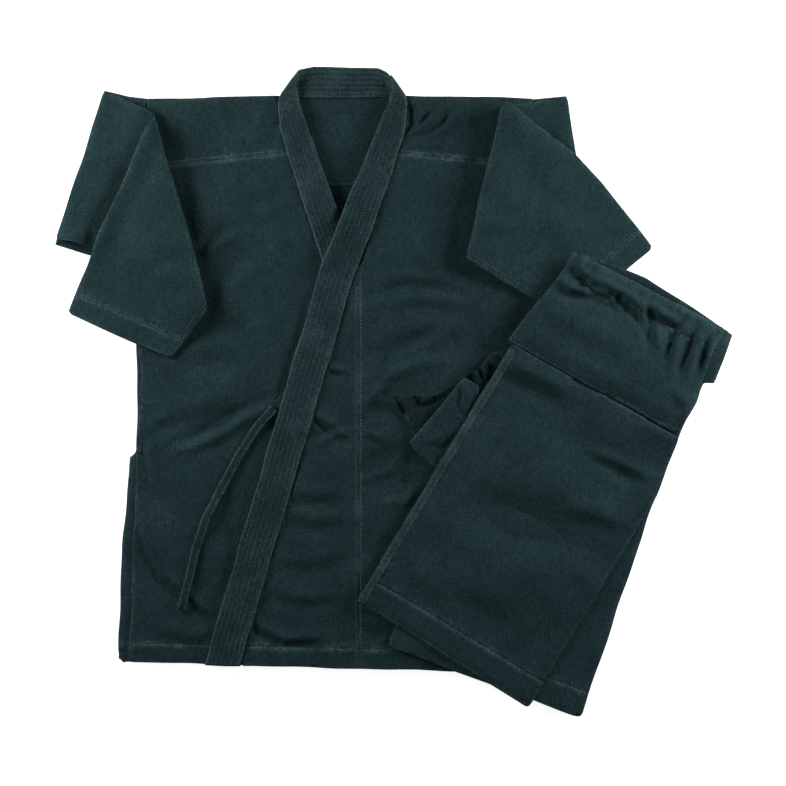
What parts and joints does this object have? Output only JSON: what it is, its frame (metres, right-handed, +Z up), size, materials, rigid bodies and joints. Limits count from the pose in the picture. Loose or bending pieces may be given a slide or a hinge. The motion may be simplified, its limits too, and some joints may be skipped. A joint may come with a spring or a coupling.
{
  "type": "martial arts uniform",
  "caption": "Dark wrap-front martial arts uniform, folded for storage: a short-vented jacket with a quilted collar band and side tie, and elastic-waist trousers laid on it.",
  "frame": {"origin": "bottom centre of the whole laid-out uniform's box, on the surface it lies on", "axes": "+Z up out of the surface, +Y from the jacket's hem towards its collar, +X towards the wearer's left side (the right of the picture)"},
  "size_m": [0.944, 0.9094, 0.0305],
  "materials": {
    "heavy_cotton": "matte canvas weave",
    "quilted_band": "matte canvas with rows of stitching",
    "stitched_hem": "matte canvas, doubled and stitched",
    "tie_cloth": "matte canvas, folded and stitched",
    "band_core": "plain interlining",
    "waist_elastic": "covered elastic"
  },
  "bodies": {
    "jacket": {"back_panel": "heavy_cotton", "back_hem": "stitched_hem", "back_yoke": "heavy_cotton", "right_side_seam": "heavy_cotton", "left_side_seam": "heavy_cotton", "right_front_panel": "heavy_cotton", "right_front_yoke": "heavy_cotton", "right_front_hem": "stitched_hem", "left_front_panel": "heavy_cotton", "left_front_yoke": "heavy_cotton", "left_front_hem": "stitched_hem", "back_collar_facing": "quilted_band", "back_collar_core": "band_core", "back_collar_face": "quilted_band", "right_lapel_facing": "quilted_band", "right_lapel_core": "band_core", "right_lapel_face": "quilted_band", "left_collar_facing": "quilted_band", "left_collar_core": "band_core", "left_collar_face": "quilted_band", "right_sleeve_top_back": "heavy_cotton", "right_sleeve_top_front": "heavy_cotton", "right_sleeve_fold_back": "heavy_cotton", "right_sleeve_fold_front": "heavy_cotton", "left_sleeve_top_back": "heavy_cotton", "left_sleeve_top_front": "heavy_cotton", "left_sleeve_fold_back": "heavy_cotton", "left_sleeve_fold_front": "heavy_cotton"},
    "front_edge": {"overlap_panel": "heavy_cotton", "overlap_hem": "stitched_hem", "left_lapel_facing": "quilted_band", "left_lapel_core": "band_core", "left_lapel_face": "quilted_band", "tie_stay": "tie_cloth"},
    "tie": {"front_tie": "tie_cloth"},
    "right_sleeve_end": {"right_sleeve_end_back": "heavy_cotton", "right_sleeve_end_front": "heavy_cotton", "right_cuff": "stitched_hem"},
    "left_sleeve_end": {"left_sleeve_end_back": "heavy_cotton", "left_sleeve_end_front": "heavy_cotton", "left_cuff": "stitched_hem"},
    "trousers": {"right_leg_back": "heavy_cotton", "right_leg_front": "heavy_cotton", "right_leg_hem": "stitched_hem", "crotch_gusset": "heavy_cotton", "left_thigh_fold": "heavy_cotton", "right_thigh_fold": "heavy_cotton", "right_seat_back": "heavy_cotton", "right_seat_front": "heavy_cotton", "left_seat_back": "heavy_cotton", "left_seat_front": "heavy_cotton", "right_waist_casing": "heavy_cotton", "left_waist_casing": "heavy_cotton", "right_elastic": "waist_elastic", "left_elastic": "waist_elastic"},
    "left_leg": {"left_leg_back": "heavy_cotton", "left_leg_front": "heavy_cotton", "left_leg_hem": "stitched_hem", "left_leg_seam": "heavy_cotton"}
  },
  "joints": [
    {"name": "trousers_lift", "type": "slide", "parent": "jacket", "child": "trousers", "axis": [0, 0, 1], "range_m": [0, 0.35]},
    {"name": "left_sleeve_unfold", "type": "hinge", "parent": "jacket", "child": "left_sleeve_end", "pos_m": [0.10175, 0.18428, 0.01105], "axis": [-0.2281, -0.9736, 0], "range_deg": [0, 60.5]},
    {"name": "right_sleeve_unfold", "type": "hinge", "parent": "jacket", "child": "right_sleeve_end", "pos_m": [-0.2602, 0.14095, 0.00685], "axis": [-0.275, 0.9614, 0], "range_deg": [0, 120]},
    {"name": "front_open", "type": "hinge", "parent": "jacket", "child": "front_edge", "pos_m": [-0.04515, 0.17574, 0.0081], "axis": [0, 1, 0], "range_deg": [0, 65]},
    {"name": "tie_raise", "type": "hinge", "parent": "front_edge", "child": "tie", "pos_m": [-0.16495, -0.02326, 0.00475], "axis": [-0.7359, 0.6771, 0], "range_deg": [0, 50]},
    {"name": "left_leg_lift", "type": "hinge", "parent": "trousers", "child": "left_leg", "pos_m": [0.16592, 0.06635, 0.0193], "axis": [-0.874, 0.4859, 0], "range_deg": [0, 70]}
  ],
  "couplings": [
    {"joint": "left_sleeve_unfold", "follows": "trousers_lift", "rad_per_m": 3}
  ]
}
